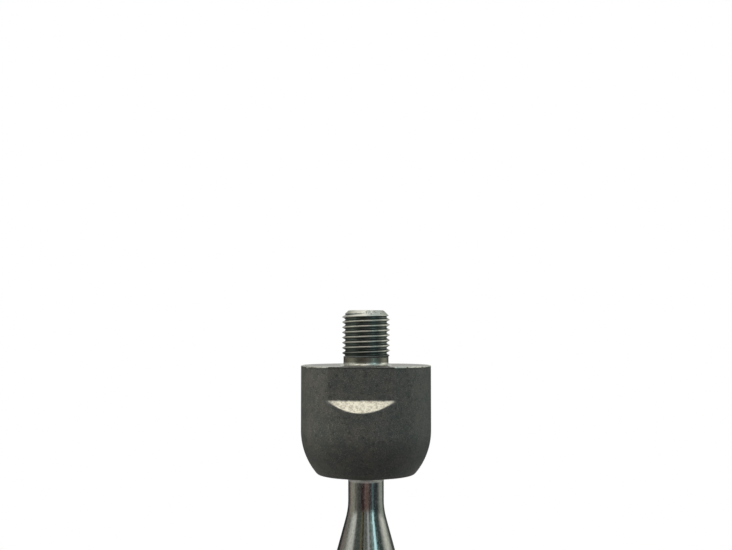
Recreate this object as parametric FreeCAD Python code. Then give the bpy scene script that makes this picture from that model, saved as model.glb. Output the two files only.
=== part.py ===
import FreeCAD, Part
import math
import os

# Inner tie rod of a rack steering gear. Lengths are in millimetres, angles in degrees.
# Z runs along the rod with the rack stud upwards, and the origin is the centre of the
# face of the socket housing that seats on the end of the rack.

# Clearances
running_gap = 0.05
stack_gap = 0.05
swing_clearance = 0.8
split_gap = 2.4
skirt_clearance = 0.45

# Ball, and how far the rod can swing from straight
ball_radius = 12.0
ball_pole_radius = 3.0
swing_limit = 28.0

# Plastic bearings and the grease between them and the ball
grease_thickness = 0.2
grease_cap_angle = 20.0
bearing_wall = 2.05
bearing_back = 1.75
rear_seat_angle = 28.0
front_seat_angle = 18.0
reservoir_radius = 8.4
exit_margin_angle = 1.5

# Backing washer and disc spring behind the rear bearing
washer_thickness = 0.9
washer_hole_radius = 3.8
washer_edge_gap = 0.5
spring_thickness = 0.9
spring_cone_height = 0.6
spring_hole_radius = 6.8
spring_edge_gap = 0.95

# Socket housing
floor_thickness = 5.6
floor_corner_chamfer = 0.5
socket_wall = 4.6
rim_break = 0.3
dome_start_height = 3.35
ball_stand_out = 2.4
lip_thickness = 2.8
lip_seat_angle = 57.0
lip_face_angle = 6.0
lip_corner_radius = 1.5
lip_edge_chamfer = 0.4

# Wrench flats on the housing
housing_flat_width = 32.9
housing_flat_length = 9.45
housing_flat_runout = 3.3

# Rack stud, M14 x 1.5
stud_radius = 7.0
stud_length = 16.0
stud_chamfer = 1.8
stud_neck_radius = 6.6
stud_neck_length = 2.6
stud_base_chamfer = 0.7

# Neck and cone of the rod
neck_radius = 5.2
neck_fillet_radius = 1.2
neck_end_depth = 16.8
cone_blend_radius = 20.0
cone_angle = 15.4
cone_shoulder_radius = 15.0

# Shank, with the seat of the rack boot
shank_radius = 9.0
shank_length = 150.0
boot_seat_radius = 8.2
boot_seat_width = 9.0
boot_seat_distance = 60.0

# Wrench flats on the shank
shank_flat_width = 15.0
shank_flat_length = 12.0
shank_flat_distance = 14.0
shank_flat_cutter_radius = 6.0

# Outer thread, M16 x 1.5, with its jam nut
thread_radius = 8.0
thread_length = 62.0
thread_shoulder_angle = 30.0
tip_chamfer = 1.6
centre_hole_radius = 2.0
centre_hole_angle = 30.0
nut_width = 24.0
nut_height = 8.0
nut_face_share = 0.95
nut_chamfer_angle = 30.0
nut_distance = 4.0
nut_sides = 6

# Sizes that follow from those above
film_inner_radius = ball_radius + running_gap
film_outer_radius = film_inner_radius + grease_thickness
bearing_bore_radius = film_outer_radius + running_gap
bearing_radius = bearing_bore_radius + bearing_wall
cavity_radius = bearing_radius + running_gap
housing_radius = cavity_radius + socket_wall

spring_top = -floor_thickness - stack_gap
washer_top = spring_top - spring_cone_height - spring_thickness - stack_gap
rear_bearing_top = washer_top - washer_thickness - stack_gap
ball_centre = rear_bearing_top - bearing_back - bearing_bore_radius
lip_depth = ball_radius - ball_stand_out
housing_bottom = ball_centre - lip_depth
dome_start = ball_centre + dome_start_height
dome_centre = FreeCAD.Vector(0, 0, dome_start)

neck_fillet_reach = ball_radius + neck_fillet_radius
neck_fillet_angle = math.degrees(math.asin((neck_radius + neck_fillet_radius) / neck_fillet_reach))
exit_angle = neck_fillet_angle + swing_limit + exit_margin_angle
swing_reach = lip_depth * math.tan(math.radians(swing_limit))
neck_reach = neck_radius / math.cos(math.radians(swing_limit))
mouth_radius = swing_reach + neck_reach + swing_clearance
lip_seat_slope = math.tan(math.radians(lip_seat_angle))
lip_seat_gap = running_gap / math.cos(math.radians(lip_seat_angle))

cone_start = ball_centre - neck_end_depth
cone_slope = math.tan(math.radians(cone_angle))
cone_top_radius = neck_radius + cone_blend_radius * (1 - math.cos(math.radians(cone_angle)))
cone_top = cone_start - cone_blend_radius * math.sin(math.radians(cone_angle))
cone_bottom_radius = shank_radius - cone_shoulder_radius * (1 - math.cos(math.radians(cone_angle)))
cone_bottom = cone_top - (cone_bottom_radius - cone_top_radius) / cone_slope
shank_top = cone_bottom - cone_shoulder_radius * math.sin(math.radians(cone_angle))
shank_bottom = shank_top - shank_length
thread_shoulder = (shank_radius - thread_radius) / math.tan(math.radians(thread_shoulder_angle))
thread_top = shank_bottom - thread_shoulder
rod_tip = thread_top - thread_length
nut_top = thread_top - nut_distance
nut_bore_radius = thread_radius + running_gap

axis_up = FreeCAD.Vector(0, 0, 1)
origin = FreeCAD.Vector(0, 0, 0)


def at(radius, height):
    """A point of a profile, at a radius from the axis and a height along it."""
    return FreeCAD.Vector(radius, 0, height)


def around(centre, radius, angle):
    """The point of a circle in the profile plane at an angle from the outward direction."""
    turn = math.radians(angle)
    return centre + FreeCAD.Vector(math.cos(turn), 0, math.sin(turn)) * radius


def arc(centre, radius, from_angle, to_angle):
    """An arc of a profile about a centre."""
    middle = (from_angle + to_angle) / 2
    points = [around(centre, radius, angle) for angle in (from_angle, middle, to_angle)]
    return Part.Arc(*points).toShape()


def path(*points):
    """The straight edges of a profile from each point to the next."""
    return [Part.LineSegment(a, b).toShape() for a, b in zip(points, points[1:])]


def revolved(edges):
    """The solid of revolution about the axis of a closed profile."""
    return Part.Face(Part.Wire(edges)).revolve(origin, axis_up, 360)


def angle_of(point, centre):
    """The angle of a point of the profile plane as seen from a centre."""
    return math.degrees(math.atan2(point.z - centre.z, point.x - centre.x))


def on_lip_seat(radius):
    """The point at a radius from the axis on the cone inside the rolled lip."""
    rise = (radius - mouth_radius) * lip_seat_slope
    return at(radius, housing_bottom + lip_thickness + rise)


def lip_face_directions():
    """The directions outward along the face under the lip, and into the metal above it."""
    slope = math.radians(lip_face_angle)
    outward = FreeCAD.Vector(math.cos(slope), 0, math.sin(slope))
    inward = FreeCAD.Vector(-math.sin(slope), 0, math.cos(slope))
    return outward, inward


def lip_corner():
    """The tangent points and arc between the dome and the face under the lip."""
    outward, inward = lip_face_directions()
    mouth_edge = at(mouth_radius, housing_bottom)
    offset = mouth_edge + inward * lip_corner_radius - dome_centre
    reach = housing_radius - lip_corner_radius
    ahead = offset.dot(outward)
    run = math.sqrt(ahead ** 2 - offset.dot(offset) + reach ** 2) - ahead
    centre = mouth_edge + outward * run + inward * lip_corner_radius
    dome_angle = angle_of(centre, dome_centre)
    face_angle = lip_face_angle - 90
    on_dome = around(dome_centre, housing_radius, dome_angle)
    on_face = around(centre, lip_corner_radius, face_angle)
    return on_dome, arc(centre, lip_corner_radius, dome_angle, face_angle), on_face


def stud_edges():
    """The outline of the rack stud, from its tip to the seating face."""
    neck_step = stud_radius - stud_neck_radius
    return path(
        at(0, stud_length),
        at(stud_radius - stud_chamfer, stud_length),
        at(stud_radius, stud_length - stud_chamfer),
        at(stud_radius, stud_neck_length + neck_step),
        at(stud_neck_radius, stud_neck_length),
        at(stud_neck_radius, stud_base_chamfer),
        at(stud_neck_radius + stud_base_chamfer, 0),
    )


def shell_edges():
    """The outside of the housing, from the seating face to the mouth of the lip."""
    outward, _ = lip_face_directions()
    on_dome, corner_arc, on_face = lip_corner()
    wall = path(
        at(stud_neck_radius + stud_base_chamfer, 0),
        at(housing_radius - rim_break, 0),
        at(housing_radius, -rim_break),
        at(housing_radius, dome_start),
    )
    dome = arc(dome_centre, housing_radius, 0, angle_of(on_dome, dome_centre))
    mouth = path(
        on_face,
        at(mouth_radius, housing_bottom) + outward * lip_edge_chamfer,
        at(mouth_radius, housing_bottom + lip_edge_chamfer),
        on_lip_seat(mouth_radius),
    )
    return wall + [dome, corner_arc] + mouth


def cavity_edges():
    """The inside of the housing, from the mouth of the lip to the axis."""
    return path(
        on_lip_seat(mouth_radius),
        on_lip_seat(cavity_radius),
        at(cavity_radius, -floor_thickness - floor_corner_chamfer),
        at(cavity_radius - floor_corner_chamfer, -floor_thickness),
        at(0, -floor_thickness),
    )


def housing_flat_cutter():
    """What one wrench flat takes away, with the sloped end that its cutter leaves."""
    flat = housing_flat_width / 2
    outside = 2 * housing_radius
    slope = (housing_radius - flat) / housing_flat_runout
    run = (outside - flat) / slope
    points = [
        FreeCAD.Vector(0, flat, outside),
        FreeCAD.Vector(0, flat, -housing_flat_length),
        FreeCAD.Vector(0, outside, -housing_flat_length - run),
        FreeCAD.Vector(0, outside, outside),
    ]
    face = Part.Face(Part.makePolygon(points + points[:1]))
    face.translate(FreeCAD.Vector(-outside, 0, 0))
    return face.extrude(FreeCAD.Vector(2 * outside, 0, 0))


def turned_half(shape):
    """A copy of a shape turned by half a turn about the axis."""
    other = shape.copy()
    other.rotate(origin, axis_up, 180)
    return other


def socket_housing():
    """The forged cup with its rack stud, wrench flats and rolled lip in one piece."""
    closing = path(at(0, -floor_thickness), at(0, stud_length))
    body = revolved(stud_edges() + shell_edges() + cavity_edges() + closing)
    cutter = housing_flat_cutter()
    return body.cut([cutter, turned_half(cutter)])


def disc_spring():
    """The coned spring that presses the bearing on the ball, its hole on the floor."""
    outer = cavity_radius - spring_edge_gap
    rim = spring_top - spring_cone_height
    section = path(
        at(spring_hole_radius, spring_top),
        at(outer, rim),
        at(outer, rim - spring_thickness),
        at(spring_hole_radius, spring_top - spring_thickness),
        at(spring_hole_radius, spring_top),
    )
    return revolved(section)


def backing_washer():
    """The flat washer between the disc spring and the rear bearing."""
    outer = cavity_radius - washer_edge_gap
    section = path(
        at(washer_hole_radius, washer_top),
        at(outer, washer_top),
        at(outer, washer_top - washer_thickness),
        at(washer_hole_radius, washer_top - washer_thickness),
        at(washer_hole_radius, washer_top),
    )
    return revolved(section)


def rear_bearing():
    """The bearing cup behind the ball: a seat, a skirt clear of the ball and a reservoir."""
    centre = at(0, ball_centre)
    split = ball_centre + split_gap / 2
    skirt_radius = ball_radius + skirt_clearance
    seat_foot = around(centre, bearing_bore_radius, rear_seat_angle)
    reservoir_angle = math.degrees(math.acos(reservoir_radius / bearing_bore_radius))
    seat_edge = around(centre, bearing_bore_radius, reservoir_angle)
    outside = path(
        seat_edge,
        at(reservoir_radius, rear_bearing_top),
        at(bearing_radius, rear_bearing_top),
        at(bearing_radius, split),
        at(skirt_radius, split),
        at(skirt_radius, seat_foot.z),
        seat_foot,
    )
    return revolved(outside + [arc(centre, bearing_bore_radius, rear_seat_angle, reservoir_angle)])


def front_bearing():
    """The bearing ring that holds the ball against the rolled lip."""
    centre = at(0, ball_centre)
    split = ball_centre - split_gap / 2
    skirt_radius = ball_radius + skirt_clearance
    seat_top = around(centre, bearing_bore_radius, -front_seat_angle)
    exit_edge = around(centre, bearing_bore_radius, exit_angle - 90)
    shoulder = on_lip_seat(bearing_radius) + at(0, lip_seat_gap)
    face_width = (shoulder.z - exit_edge.z) / lip_seat_slope
    outside = path(
        seat_top,
        at(skirt_radius, seat_top.z),
        at(skirt_radius, split),
        at(bearing_radius, split),
        shoulder,
        at(bearing_radius - face_width, exit_edge.z),
        exit_edge,
    )
    return revolved(outside + [arc(centre, bearing_bore_radius, exit_angle - 90, -front_seat_angle)])


def grease_film():
    """The film of grease between the back of the ball and the rear bearing."""
    centre = at(0, ball_centre)
    rim = 90 - grease_cap_angle
    pole = math.degrees(math.acos(ball_pole_radius / film_inner_radius))
    inner = arc(centre, film_inner_radius, rim, pole)
    outer = arc(centre, film_outer_radius, pole, rim)
    pole_edge = path(around(centre, film_inner_radius, pole), around(centre, film_outer_radius, pole))
    rim_edge = path(around(centre, film_outer_radius, rim), around(centre, film_inner_radius, rim))
    return revolved([inner] + pole_edge + [outer] + rim_edge)


def ball_and_neck_edges():
    """The ball, the fillet behind it and the neck, down to the start of the cone."""
    centre = at(0, ball_centre)
    pole_angle = math.degrees(math.acos(ball_pole_radius / ball_radius))
    pole = around(centre, ball_radius, pole_angle)
    tangent_angle = neck_fillet_angle - 90
    fillet_centre = around(centre, neck_fillet_reach, tangent_angle)
    ball = arc(centre, ball_radius, pole_angle, tangent_angle)
    fillet = arc(fillet_centre, neck_fillet_radius, tangent_angle + 180, 180)
    neck = path(at(neck_radius, fillet_centre.z), at(neck_radius, cone_start))
    return path(at(0, pole.z), pole) + [ball, fillet] + neck


def cone_edges():
    """The cone between the neck and the shank, blended at both ends."""
    blend_centre = at(neck_radius + cone_blend_radius, cone_start)
    shoulder_centre = at(shank_radius - cone_shoulder_radius, shank_top)
    blend = arc(blend_centre, cone_blend_radius, 180, 180 + cone_angle)
    cone = path(at(cone_top_radius, cone_top), at(cone_bottom_radius, cone_bottom))
    shoulder = arc(shoulder_centre, cone_shoulder_radius, cone_angle, 0)
    return [blend] + cone + [shoulder]


def shank_edges():
    """The shank with its boot seat, the thread and the tip with its centre hole."""
    seat_top = shank_top - boot_seat_distance
    seat_bottom = seat_top - boot_seat_width
    seat_depth = shank_radius - boot_seat_radius
    hole_depth = centre_hole_radius / math.tan(math.radians(centre_hole_angle))
    return path(
        at(shank_radius, shank_top),
        at(shank_radius, seat_top),
        at(boot_seat_radius, seat_top - seat_depth),
        at(boot_seat_radius, seat_bottom + seat_depth),
        at(shank_radius, seat_bottom),
        at(shank_radius, shank_bottom),
        at(thread_radius, thread_top),
        at(thread_radius, rod_tip + tip_chamfer),
        at(thread_radius - tip_chamfer, rod_tip),
        at(centre_hole_radius, rod_tip),
        at(0, rod_tip + hole_depth),
    )


def shank_flat_cutter():
    """What one wrench flat of the shank takes away, with the hollow ends of a milled flat."""
    flat = shank_flat_width / 2
    outside = 2 * shank_radius
    low = shank_bottom + shank_flat_distance
    high = low + shank_flat_length
    rise = shank_flat_cutter_radius
    low_end = arc(at(flat + rise, low), rise, 270, 180)
    high_end = arc(at(flat + rise, high), rise, 180, 90)
    lines = path(at(flat, low), at(flat, high))
    closing = path(
        at(flat + rise, high + rise),
        at(outside, high + rise),
        at(outside, low - rise),
        at(flat + rise, low - rise),
    )
    face = Part.Face(Part.Wire([low_end] + lines + [high_end] + closing))
    face.rotate(origin, axis_up, 90)
    face.translate(FreeCAD.Vector(-outside, 0, 0))
    return face.extrude(FreeCAD.Vector(2 * outside, 0, 0))


def tie_rod():
    """The rod with its ball, neck, cone, shank and outer thread in one piece."""
    top = ball_and_neck_edges()
    bottom = shank_edges()
    closing = path(bottom[-1].Vertexes[-1].Point, top[0].Vertexes[0].Point)
    body = revolved(top + cone_edges() + bottom + closing)
    cutter = shank_flat_cutter()
    return body.cut([cutter, turned_half(cutter)])


def jam_nut():
    """The hexagonal nut that locks the outer end on the thread."""
    nut_bottom = nut_top - nut_height
    corner_radius = nut_width / 2 / math.cos(math.pi / nut_sides)
    hexagon = Part.makePolygon([
        FreeCAD.Vector(
            corner_radius * math.cos(math.tau * number / nut_sides),
            corner_radius * math.sin(math.tau * number / nut_sides),
            nut_bottom,
        )
        for number in range(nut_sides + 1)
    ])
    prism = Part.Face(hexagon).extrude(axis_up * nut_height)
    face_radius = nut_width / 2 * nut_face_share
    drop = (corner_radius - face_radius) * math.tan(math.radians(nut_chamfer_angle))
    turning = revolved(path(
        at(nut_bore_radius, nut_top),
        at(face_radius, nut_top),
        at(corner_radius, nut_top - drop),
        at(corner_radius, nut_bottom + drop),
        at(face_radius, nut_bottom),
        at(nut_bore_radius, nut_bottom),
        at(nut_bore_radius, nut_top),
    ))
    return prism.common(turning)


pieces = {
    "socket_housing": socket_housing,
    "disc_spring": disc_spring,
    "backing_washer": backing_washer,
    "rear_bearing": rear_bearing,
    "front_bearing": front_bearing,
    "grease_film": grease_film,
    "tie_rod": tie_rod,
    "jam_nut": jam_nut,
}

os.makedirs("parts", exist_ok=True)
for name, make in pieces.items():
    make().exportStep("parts/" + name + ".step")
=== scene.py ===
import math
import bmesh
import bpy
import numpy as np
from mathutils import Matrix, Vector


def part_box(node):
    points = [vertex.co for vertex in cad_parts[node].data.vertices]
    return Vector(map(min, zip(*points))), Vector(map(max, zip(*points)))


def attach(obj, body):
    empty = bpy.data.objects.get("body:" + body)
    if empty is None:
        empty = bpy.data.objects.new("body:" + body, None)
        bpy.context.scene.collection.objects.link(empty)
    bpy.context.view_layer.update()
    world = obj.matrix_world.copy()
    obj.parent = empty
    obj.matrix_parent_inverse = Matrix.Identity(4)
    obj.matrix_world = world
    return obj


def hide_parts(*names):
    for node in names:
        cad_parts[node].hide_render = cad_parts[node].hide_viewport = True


# An inner tie rod. Sizes are in millimetres and constants that are angles in degrees, except
# where a name ends in _M, for metres, or a heading says otherwise.
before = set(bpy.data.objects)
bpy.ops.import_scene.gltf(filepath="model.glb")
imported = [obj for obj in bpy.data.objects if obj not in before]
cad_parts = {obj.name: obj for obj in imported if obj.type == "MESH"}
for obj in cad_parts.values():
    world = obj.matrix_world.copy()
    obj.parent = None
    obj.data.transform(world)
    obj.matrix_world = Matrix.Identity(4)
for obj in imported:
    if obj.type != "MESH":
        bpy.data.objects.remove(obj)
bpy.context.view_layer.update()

METRES_PER_MM = 0.001
FULL_TURN = math.tau

# Outer sizes, read from the frame
housing_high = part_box("socket_housing")[1]
rod_low, rod_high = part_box("tie_rod")
nut_low, nut_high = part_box("jam_nut")
housing_radius = housing_high.y / METRES_PER_MM
stud_length = housing_high.z / METRES_PER_MM
ball_radius = rod_high.x / METRES_PER_MM
ball_pole = rod_high.z / METRES_PER_MM
rod_tip = rod_low.z / METRES_PER_MM
nut_top = nut_high.z / METRES_PER_MM
nut_bottom = nut_low.z / METRES_PER_MM
nut_apothem = nut_high.y / METRES_PER_MM

# Rack stud, M14 x 1.5. A nick is its depth, its angle and its half width in degrees.
STUD_CREST_RADIUS = 6.98
STUD_ROOT_RADIUS = 6.08
STUD_TIP_RADIUS = 5.2
STUD_TIP_SHARES = (0.0, 0.25, 0.5, 0.75, 0.93)
STUD_TIP_EDGE = 0.06
STUD_TIP_STEP = 0.02
STUD_NICKS = ((0.5, 290, 4.5), (0.35, 107, 6), (0.2, 12, 3))
STUD_NICK_FOOT = 15.0
STUD_NICK_BLEND = 0.7
STUD_NECK_RADIUS = 6.6
STUD_NECK_TOP = 2.2
STUD_NECK_HEIGHTS = (2.15, 1.0)
STUD_RING_HEIGHTS = (2.55, 2.3)
STUD_FADE_HEIGHT = 0.9
STUD_CREST_RISE = 1.2
STUD_BASE_FILLET = 0.8
STUD_FILLET_HIGHLIGHT = (0.5, 1.7)

# Wrench flats of the housing
HOUSING_FLAT = 16.45
FLAT_END = -9.45
FLAT_RUNOUT = 3.3
FLAT_END_BLEND = 0.35
FLAT_LIMIT_STEPS = 3.0
MILLED_LEAD = 0.25
MILLED_RAGGED = 0.15
MILLED_BLEND = 0.6
SCUFF_BELOW = 0.45
SCUFF_HEIGHT = 0.45
SCUFF_WIDTH = 0.5

# Seating face and its broken rim. A nick's depth is a share of the rim's break, and the painted
# shade on the lower part of the rim's break starts and blends at angles in radians.
FACE_SHARES = (0.03, 0.1, 0.2, 0.3, 0.4, 0.5, 0.6, 0.7, 0.8, 0.88, 0.94, 0.975, 0.99, 1.0)
FACE_WEAR_START = 0.975
RIM_BREAK = 0.3
RIM_RAGGED = 0.45
RIM_NICKS = ((0.9, 213, 2.2), (0.7, 352, 3), (0.5, 255, 1.2), (0.4, 285, 1.6))
RIM_FLAT_BLEND = 0.2
RIM_SHADE_FROM = 0.45
RIM_SHADE_BLEND = 0.4
RIM_PAINTED_SHADE = 0.8
RIM_FOOT_DROP = 0.04
RIM_FOOT_SHADE = 0.4
RIM_FOOT_FLAT_SHADE = 0.3
RIM_WALL_DROP = 0.25
RIM_WALL_SHADE = 0.15

# Dome, lip and cavity of the housing
# The dome's middle is darkened by painted shade, the same all round the axis.
PAINTED_DOME_SHADE = 0.28
BALL_CENTRE = -22.2
DOME_START = -18.85
LIP_BOTTOM = -31.8
MOUTH_RADIUS = 11.79
LIP_FACE_ANGLE = 6.0
LIP_CORNER_RADIUS = 1.5
LIP_EDGE_RADIUS = 0.45
LIP_SEAT_BOTTOM = -29.0
LIP_SEAT_TOP = -24.99
MOUTH_WALL_RISE = 1.2
CAVITY_RADIUS = 14.4
CAVITY_FLOOR = -5.6

# Heights of the housing wall's rows, each range as its start, end and count
WALL_ROWS = ((-0.95, -8.9, 13), (-9.0, -13.2, 31), (-13.7, DOME_START, 7))

# Rod. The shank's rows end 1.5 mm below the first row of its flats, so they fold back there.
NECK_RADIUS = 5.2
NECK_FILLET = 1.2
CONE_START = -39.0
CONE_ANGLE = 15.4
CONE_BLEND = 20.0
SHANK_RADIUS = 9.0
SHOULDER_BLEND = 15.0
BOOT_SEAT_RADIUS = 8.2
BOOT_SEAT_DISTANCE = 60.0
BOOT_SEAT_WIDTH = 9.0
BOOT_SEAT_MARGIN = 1.5
GROOVE_FILLET = 0.05
SHANK_ROWS_TOP = -60.0
SHANK_ROWS_BOTTOM = -177.0
THREAD_ROWS_TOP = -201.0
SHANK_LENGTH = 150.0
SHANK_FLAT = 7.5
SHANK_FLAT_DISTANCE = 14.0
SHANK_FLAT_LENGTH = 12.0
SHANK_CUTTER_RADIUS = 6.0
SHANK_FLAT_BLEND = 0.08
THREAD_SHOULDER = 1.732
THREAD_LENGTH = 62.0
OUTER_CREST_RADIUS = 7.98
OUTER_ROOT_RADIUS = 7.08
OUTER_FADE_HEIGHT = 1.2
TIP_CHAMFER = 1.6
TIP_EDGE = 0.05
CENTRE_HOLE_RADIUS = 2.0
CENTRE_HOLE_EDGE = 0.08
CENTRE_HOLE_DEPTH = 3.46

outer_thread_top = rod_tip + THREAD_LENGTH
shank_bottom = outer_thread_top + THREAD_SHOULDER
shank_flat_low = shank_bottom + SHANK_FLAT_DISTANCE
shank_flat_high = shank_flat_low + SHANK_FLAT_LENGTH
boot_seat_top = shank_bottom + SHANK_LENGTH - BOOT_SEAT_DISTANCE
boot_seat_bottom = boot_seat_top - BOOT_SEAT_WIDTH

# Jam nut
NUT_BORE_RADIUS = 8.06
NUT_COUNTERSINK = 0.6
NUT_FACE_RADIUS = 11.4
NUT_CHAMFER_ANGLE = 30.0
NUT_CORNER_ROUNDING = 0.5
NUT_CORNER_START = 1.12
NUT_CORNER_BLEND = 0.03
NUT_WEAR_START = 0.8
NUT_CORNER_WEAR = 0.7
NUT_EDGE_WEAR = 0.5
NUT_RIM_EDGE = 0.04
NUT_FACE_INSET = 0.3
LEAST_FACING = 0.3

# Both threads
PITCH = 1.5
CREST_HALF_WIDTH = 0.0625
FLANK_WIDTH = 0.344
STUD_THREAD_STEPS = (0.0, 0.03, 0.0625, 0.12, 0.19, 0.26, 0.33, 0.4065, 0.45)
OUTER_THREAD_STEPS = (0.0, 0.0625, 0.17, 0.29, 0.4065)
STUD_THREAD_RISE = 0.28
THREAD_ROUNDING = 0.18

# How the grids are divided, and how their edges are softened
HOUSING_COLUMNS = 360
ROD_COLUMNS = 200
EDGE_WIDTH = 0.15
EDGE_BREAK = 0.03
EDGE_BAND = 0.14
EDGE_BAND_WEAR = 0.02
BARE_BLEND = 0.12
ROW_GAP = 0.1
MERGE_DISTANCE_M = 2e-6
NEAR_OFFSETS = (-0.7, -0.35, -0.12, 0.12, 0.35, 0.7)
LEAST_SINE = 1e-3


def spaced(low, high, count):
    """Evenly spaced values with both ends."""
    return np.linspace(low, high, count)


def smooth_step(values):
    """A smooth rise from 0 to 1 over the same range."""
    share = np.clip(values, 0, 1)
    return share * share * (3 - 2 * share)


def soft_min(a, b, width):
    """The smaller of two values, with the corner between them rounded over a width."""
    share = np.clip(0.5 + 0.5 * (b - a) / width, 0, 1)
    return b * (1 - share) + a * share - width * share * (1 - share)


def ragged(turn, waves, seed):
    """An uneven closed curve between -1 and 1 round the axis, the same on each run."""
    draws = np.random.default_rng(seed)
    total = np.zeros_like(turn)
    for wave in waves:
        total += np.sin(wave * turn + draws.uniform(0, FULL_TURN)) * draws.uniform(0.5, 1)
    return total / len(waves)


def bell(values, width):
    """A smooth bump of height 1 at zero, with a half width."""
    return np.exp(-(values / width) ** 2)


def dents(turn, nicks):
    """The sum of some bumps round the axis, each given as its height, angle and half width."""
    total = np.zeros_like(turn)
    for height, angle, half_width in nicks:
        away = (np.degrees(turn) - angle + 180) % 360 - 180
        total += height * bell(away, half_width)
    return total


def arc_points(centre, radius, from_angle, to_angle, count):
    """Points of an arc in the profile plane, as (radius, height) pairs."""
    angles = np.radians(spaced(from_angle, to_angle, count))
    return np.stack([centre[0] + radius * np.cos(angles), centre[1] + radius * np.sin(angles)], 1)


def line_points(start, end, count):
    """Evenly spaced points of a straight line in the profile plane."""
    return np.stack([spaced(start[0], end[0], count), spaced(start[1], end[1], count)], 1)


def wall_points(radius, heights, count):
    """Evenly spaced points of a cylinder's side between two heights."""
    return line_points((radius, heights[0]), (radius, heights[1]), count)


class Lathe:
    """Rows of points round the axis, from the top down, that become one closed mesh."""

    def __init__(self, turn):
        self.turn = turn
        self.blocks = []

    def add(self, radius, height, **masks):
        """Rows given as arrays over (row, angle), with masks for the material."""
        shape = np.broadcast_shapes(np.shape(radius), np.shape(height), (1, self.turn.size))
        block = {"radius": np.broadcast_to(radius, shape), "height": np.broadcast_to(height, shape)}
        for name, values in masks.items():
            block[name] = np.broadcast_to(values, shape)
        self.blocks.append(block)

    def add_points(self, points, **masks):
        """Rows that are true circles, one for each (radius, height) point."""
        points = np.asarray(points, float)
        self.add(points[:, :1], points[:, 1:], **masks)

    def stacked(self, name):
        """One value of all rows, top to bottom, with 0 where a block doesn't give it."""
        parts = [block.get(name, np.zeros(block["radius"].shape)) for block in self.blocks]
        return np.vstack(parts)

    def build(self, name, mask_names):
        """The mesh object, with each mask as an attribute of its points."""
        radius = self.stacked("radius")
        height = self.stacked("height")
        rows, columns = radius.shape
        points = np.stack([radius * np.cos(self.turn), radius * np.sin(self.turn), height], 2)
        index = np.arange(rows * columns).reshape(rows, columns)
        corners = [index[:-1, :-1], index[1:, :-1], index[1:, 1:], index[:-1, 1:]]
        faces = np.stack([corner.ravel() for corner in corners], 1)
        mesh = bpy.data.meshes.new(name)
        mesh.from_pydata((points.reshape(-1, 3) * METRES_PER_MM).tolist(), [], faces.tolist())
        for mask in mask_names:
            layer = mesh.attributes.new(mask, "FLOAT", "POINT")
            layer.data.foreach_set("value", self.stacked(mask).ravel().astype(np.float32))
        return welded(name, mesh)


def welded(name, mesh):
    """An object of a mesh whose points that coincide are joined, shaded smooth."""
    shape = bmesh.new()
    shape.from_mesh(mesh)
    bmesh.ops.remove_doubles(shape, verts=shape.verts, dist=MERGE_DISTANCE_M)
    bmesh.ops.recalc_face_normals(shape, faces=shape.faces)
    for face in shape.faces:
        face.smooth = True
    shape.to_mesh(mesh)
    shape.free()
    piece = bpy.data.objects.new(name, mesh)
    bpy.context.scene.collection.objects.link(piece)
    normals = piece.modifiers.new("face_weighted_normals", "WEIGHTED_NORMAL")
    normals.keep_sharp = True
    return piece


def columns_round(count, extra_angles=()):
    """Angles round the axis from 0 to a full turn, closer together near some of them."""
    even = spaced(0, 360, count + 1)
    near = [angle + offset for angle in extra_angles for offset in NEAR_OFFSETS]
    return np.radians(np.unique(np.concatenate([even, near])))


def flat_limit(turn, distance):
    """How far from the axis the two flats let the surface reach at each angle."""
    return distance / np.maximum(np.abs(np.sin(turn)), LEAST_SINE)


def thread_depth(height, turn, start):
    """How deep a right-handed thread is cut at a point, from 0 on its crest to 1 at its root."""
    phase = (start + PITCH * turn / FULL_TURN - height) / PITCH
    from_crest = np.abs(phase - np.round(phase))
    depth = (from_crest - CREST_HALF_WIDTH) / FLANK_WIDTH
    return soft_min(-soft_min(0.0, -depth, THREAD_ROUNDING), 1.0, THREAD_ROUNDING)


def thread_heights(turn, start, top, bottom, steps):
    """Rows that follow a thread's helix down a cylinder, held between its two ends."""
    one_turn = sorted(set(steps) | {1 - step for step in steps if step} | {0.5})
    count = math.ceil((start - bottom) / PITCH) + 1
    levels = np.array([turn_number + step for turn_number in range(count) for step in one_turn])
    heights = start + PITCH * turn / FULL_TURN - PITCH * levels[:, None]
    return np.clip(heights, bottom, top)


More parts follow.
